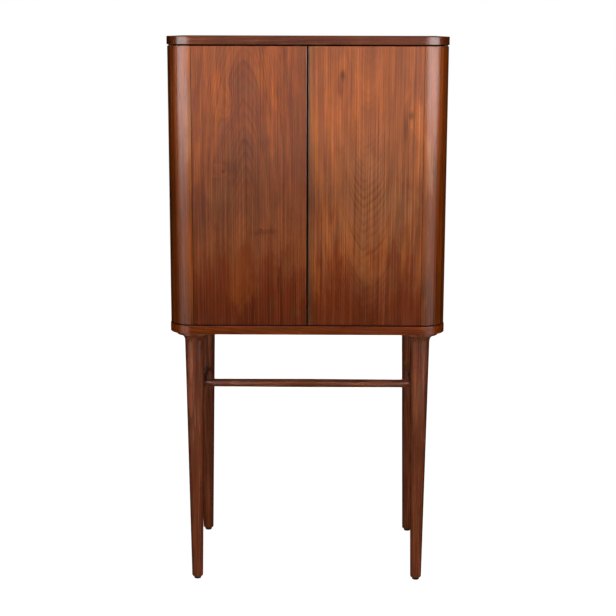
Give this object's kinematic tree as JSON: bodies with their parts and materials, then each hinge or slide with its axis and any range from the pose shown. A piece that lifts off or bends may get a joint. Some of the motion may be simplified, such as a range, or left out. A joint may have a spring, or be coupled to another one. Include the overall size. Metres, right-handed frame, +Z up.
{
  "type": "bar cabinet with fold out shelf",
  "caption": "Upright walnut bar cabinet on turned legs; wrap-round doors hide a bottle rack, glass rails and a serving leaf that folds out over lopers.",
  "frame": {"origin": "on the floor, below the middle of the cabinet's width and depth", "axes": "+X to the right as one faces the doors, -Y out of the doors, +Z up"},
  "size_m": [0.754, 0.54, 1.524],
  "materials": {
    "walnut_veneer": "satin lacquer over reddish brown walnut veneer",
    "walnut_solid": "satin lacquer over solid walnut, grain upright",
    "walnut_inner": "satin lacquer over walnut boards",
    "walnut_turned": "satin lacquer over turned walnut",
    "backboard": "thin veneered board, matt",
    "beech": "waxed beech",
    "brass": "satin brass",
    "black_plastic": "matt black",
    "zinc_steel": "zinc plated"
  },
  "bodies": {
    "carcass": {"adjustable_shelf": "walnut_inner", "back_panel": "backboard", "base_hinge_plates": "brass", "base_slab": "walnut_veneer", "case_dowels": "beech", "center_divider": "walnut_inner", "counter_hinge_flaps": "brass", "counter_shelf": "walnut_inner", "cross_stretcher": "walnut_turned", "foot_glides": "black_plastic", "hanger_bolts": "zinc_steel", "hinge_washers": "black_plastic", "latch_housing_left": "black_plastic", "latch_housing_right": "black_plastic", "leg_front_left": "walnut_turned", "leg_front_right": "walnut_turned", "leg_rear_left": "walnut_turned", "leg_rear_right": "walnut_turned", "loper_guide_left": "beech", "loper_guide_right": "beech", "rack_divider_left": "walnut_inner", "rack_divider_right": "walnut_inner", "rack_shelf_lower": "walnut_inner", "rack_shelf_upper": "walnut_inner", "shelf_pins": "brass", "side_panel_left": "walnut_veneer", "side_panel_right": "walnut_veneer", "side_stretcher_left": "walnut_turned", "side_stretcher_right": "walnut_turned", "stemware_rail_1": "walnut_inner", "stemware_rail_2": "walnut_inner", "stemware_rail_3": "walnut_inner", "stemware_rail_4": "walnut_inner", "stemware_rail_5": "walnut_inner", "threaded_inserts": "zinc_steel", "top_hinge_plates": "brass", "top_slab": "walnut_veneer", "wall_brackets": "zinc_steel"},
    "door_left": {"door_left_panel": "walnut_veneer", "door_left_corner": "walnut_solid", "door_left_hinge_plates": "brass", "door_left_tray": "walnut_inner", "door_left_tray_rail": "brass", "door_left_strike": "zinc_steel"},
    "door_right": {"door_right_panel": "walnut_veneer", "door_right_corner": "walnut_solid", "door_right_hinge_plates": "brass", "door_right_tray": "walnut_inner", "door_right_tray_rail": "brass", "door_right_strike": "zinc_steel"},
    "leaf": {"fold_out_leaf": "walnut_inner", "leaf_hinge_flaps": "brass"},
    "left_loper": {"loper_left": "beech", "loper_left_knob": "brass"},
    "right_loper": {"loper_right": "beech", "loper_right_knob": "brass"},
    "left_plunger": {"latch_plunger_left": "black_plastic"},
    "right_plunger": {"latch_plunger_right": "black_plastic"}
  },
  "joints": [
    {"name": "door_left_hinge", "type": "hinge", "parent": "carcass", "child": "door_left", "pos_m": [-0.365, -0.19, 0.7525], "axis": [0, 0, -1], "range_deg": [0, 95]},
    {"name": "door_right_hinge", "type": "hinge", "parent": "carcass", "child": "door_right", "pos_m": [0.365, -0.19, 0.7525], "axis": [0, 0, 1], "range_deg": [0, 95]},
    {"name": "leaf_fold", "type": "hinge", "parent": "carcass", "child": "leaf", "pos_m": [0, -0.042, 1.11725], "axis": [1, 0, 0], "range_deg": [0, 180]},
    {"name": "loper_left_slide", "type": "slide", "parent": "carcass", "child": "left_loper", "axis": [0, -1, 0], "range_m": [0, 0.165]},
    {"name": "loper_right_slide", "type": "slide", "parent": "carcass", "child": "right_loper", "axis": [0, -1, 0], "range_m": [0, 0.165]},
    {"name": "latch_left_press", "type": "slide", "parent": "carcass", "child": "left_plunger", "axis": [0, 1, 0], "range_m": [0, 0.003], "stiffness_N_per_m": 900, "springref_m": -0.002},
    {"name": "latch_right_press", "type": "slide", "parent": "carcass", "child": "right_plunger", "axis": [0, 1, 0], "range_m": [0, 0.003], "stiffness_N_per_m": 900, "springref_m": -0.002}
  ]
}
